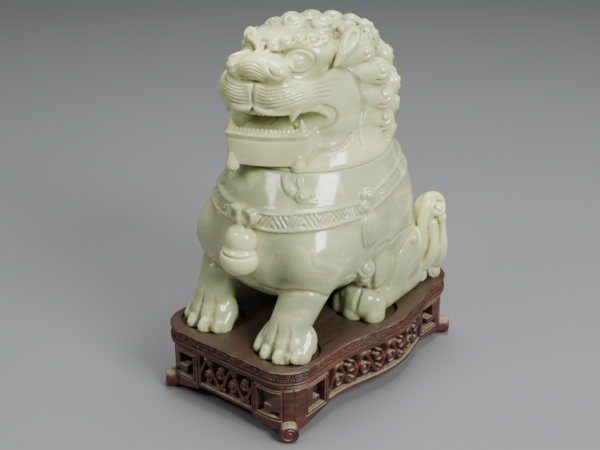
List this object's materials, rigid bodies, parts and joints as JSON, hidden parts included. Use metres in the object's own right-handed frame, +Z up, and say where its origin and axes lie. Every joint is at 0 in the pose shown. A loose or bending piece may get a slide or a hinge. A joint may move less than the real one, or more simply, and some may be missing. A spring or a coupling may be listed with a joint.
{
  "type": "guardian lion censer",
  "caption": "Carved jade guardian lion, hollow for incense, with a lift-off head, standing in the sockets of a pierced and fretted hardwood stand.",
  "frame": {"origin": "on the floor, under the middle of the stand", "axes": "+Z up; the lion stands facing -Y; +X towards the lion's left flank"},
  "size_m": [0.1084, 0.1538, 0.2046],
  "materials": {
    "jade": "polished",
    "rosewood": "waxed",
    "block_wood": "sawn",
    "bamboo": "plain"
  },
  "bodies": {
    "stand": {"top_board": "rosewood", "apron_front": "rosewood", "apron_rear": "rosewood", "apron_left": "rosewood", "apron_right": "rosewood", "leg_front_left": "rosewood", "leg_front_right": "rosewood", "leg_rear_left": "rosewood", "leg_rear_right": "rosewood", "foot_front_left": "rosewood", "foot_front_right": "rosewood", "foot_rear_left": "rosewood", "foot_rear_right": "rosewood", "glue_block_front_left": "block_wood", "glue_block_front_right": "block_wood", "glue_block_rear_left": "block_wood", "glue_block_rear_right": "block_wood", "leg_pegs": "bamboo"},
    "lion": {"lion_body": "jade"},
    "head": {"lion_head": "jade"}
  },
  "joints": [
    {"name": "lion_lift", "type": "slide", "parent": "stand", "child": "lion", "axis": [0, 0, 1], "range_m": [0, 0.08]},
    {"name": "head_lift", "type": "slide", "parent": "lion", "child": "head", "axis": [0, 0, 1], "range_m": [0, 0.06]}
  ]
}
